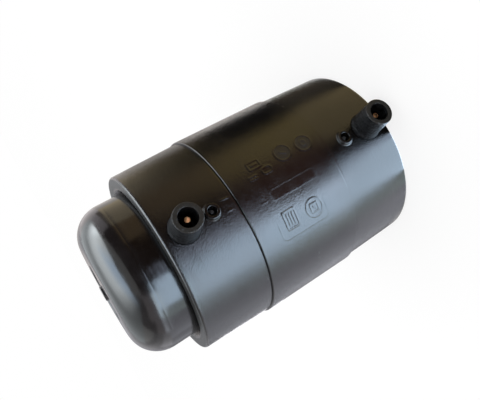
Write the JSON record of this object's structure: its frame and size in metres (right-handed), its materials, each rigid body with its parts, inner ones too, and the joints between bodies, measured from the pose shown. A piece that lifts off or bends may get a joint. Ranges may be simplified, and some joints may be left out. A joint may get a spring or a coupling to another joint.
{
  "type": "electrofusion end cap",
  "caption": "Pipe end cap: a stepped coupler body with an open socket, a domed plug closing the other end, shrouded terminals on one side and a heating wire wound round the bore.",
  "frame": {"origin": "on the fitting's axis, in the plane of the open socket's rim, on which it stands", "axes": "+Z along the axis from the open socket to the domed plug; -Y the way both terminals point; +X completes a right-handed frame"},
  "size_m": [0.0952, 0.1084, 0.148],
  "materials": {
    "body_polyethylene": "semi-gloss black polyethylene, moulded",
    "plug_polyethylene": "glossy black polyethylene, moulded, lightly scratched",
    "shroud_plastic": "matt charcoal plastic",
    "post_plastic": "black polyethylene",
    "pin_metal": "bare copper-coloured brass, turned",
    "wire_metal": "bare copper resistance wire"
  },
  "bodies": {
    "root": {"socket_body": "body_polyethylene", "end_plug": "plug_polyethylene", "heating_wire": "wire_metal", "open_side_shroud": "shroud_plastic", "open_side_terminal_pin": "pin_metal", "open_side_indicator_post": "post_plastic", "plug_side_shroud": "shroud_plastic", "plug_side_terminal_pin": "pin_metal", "plug_side_indicator_post": "post_plastic"}
  },
  "joints": []
}
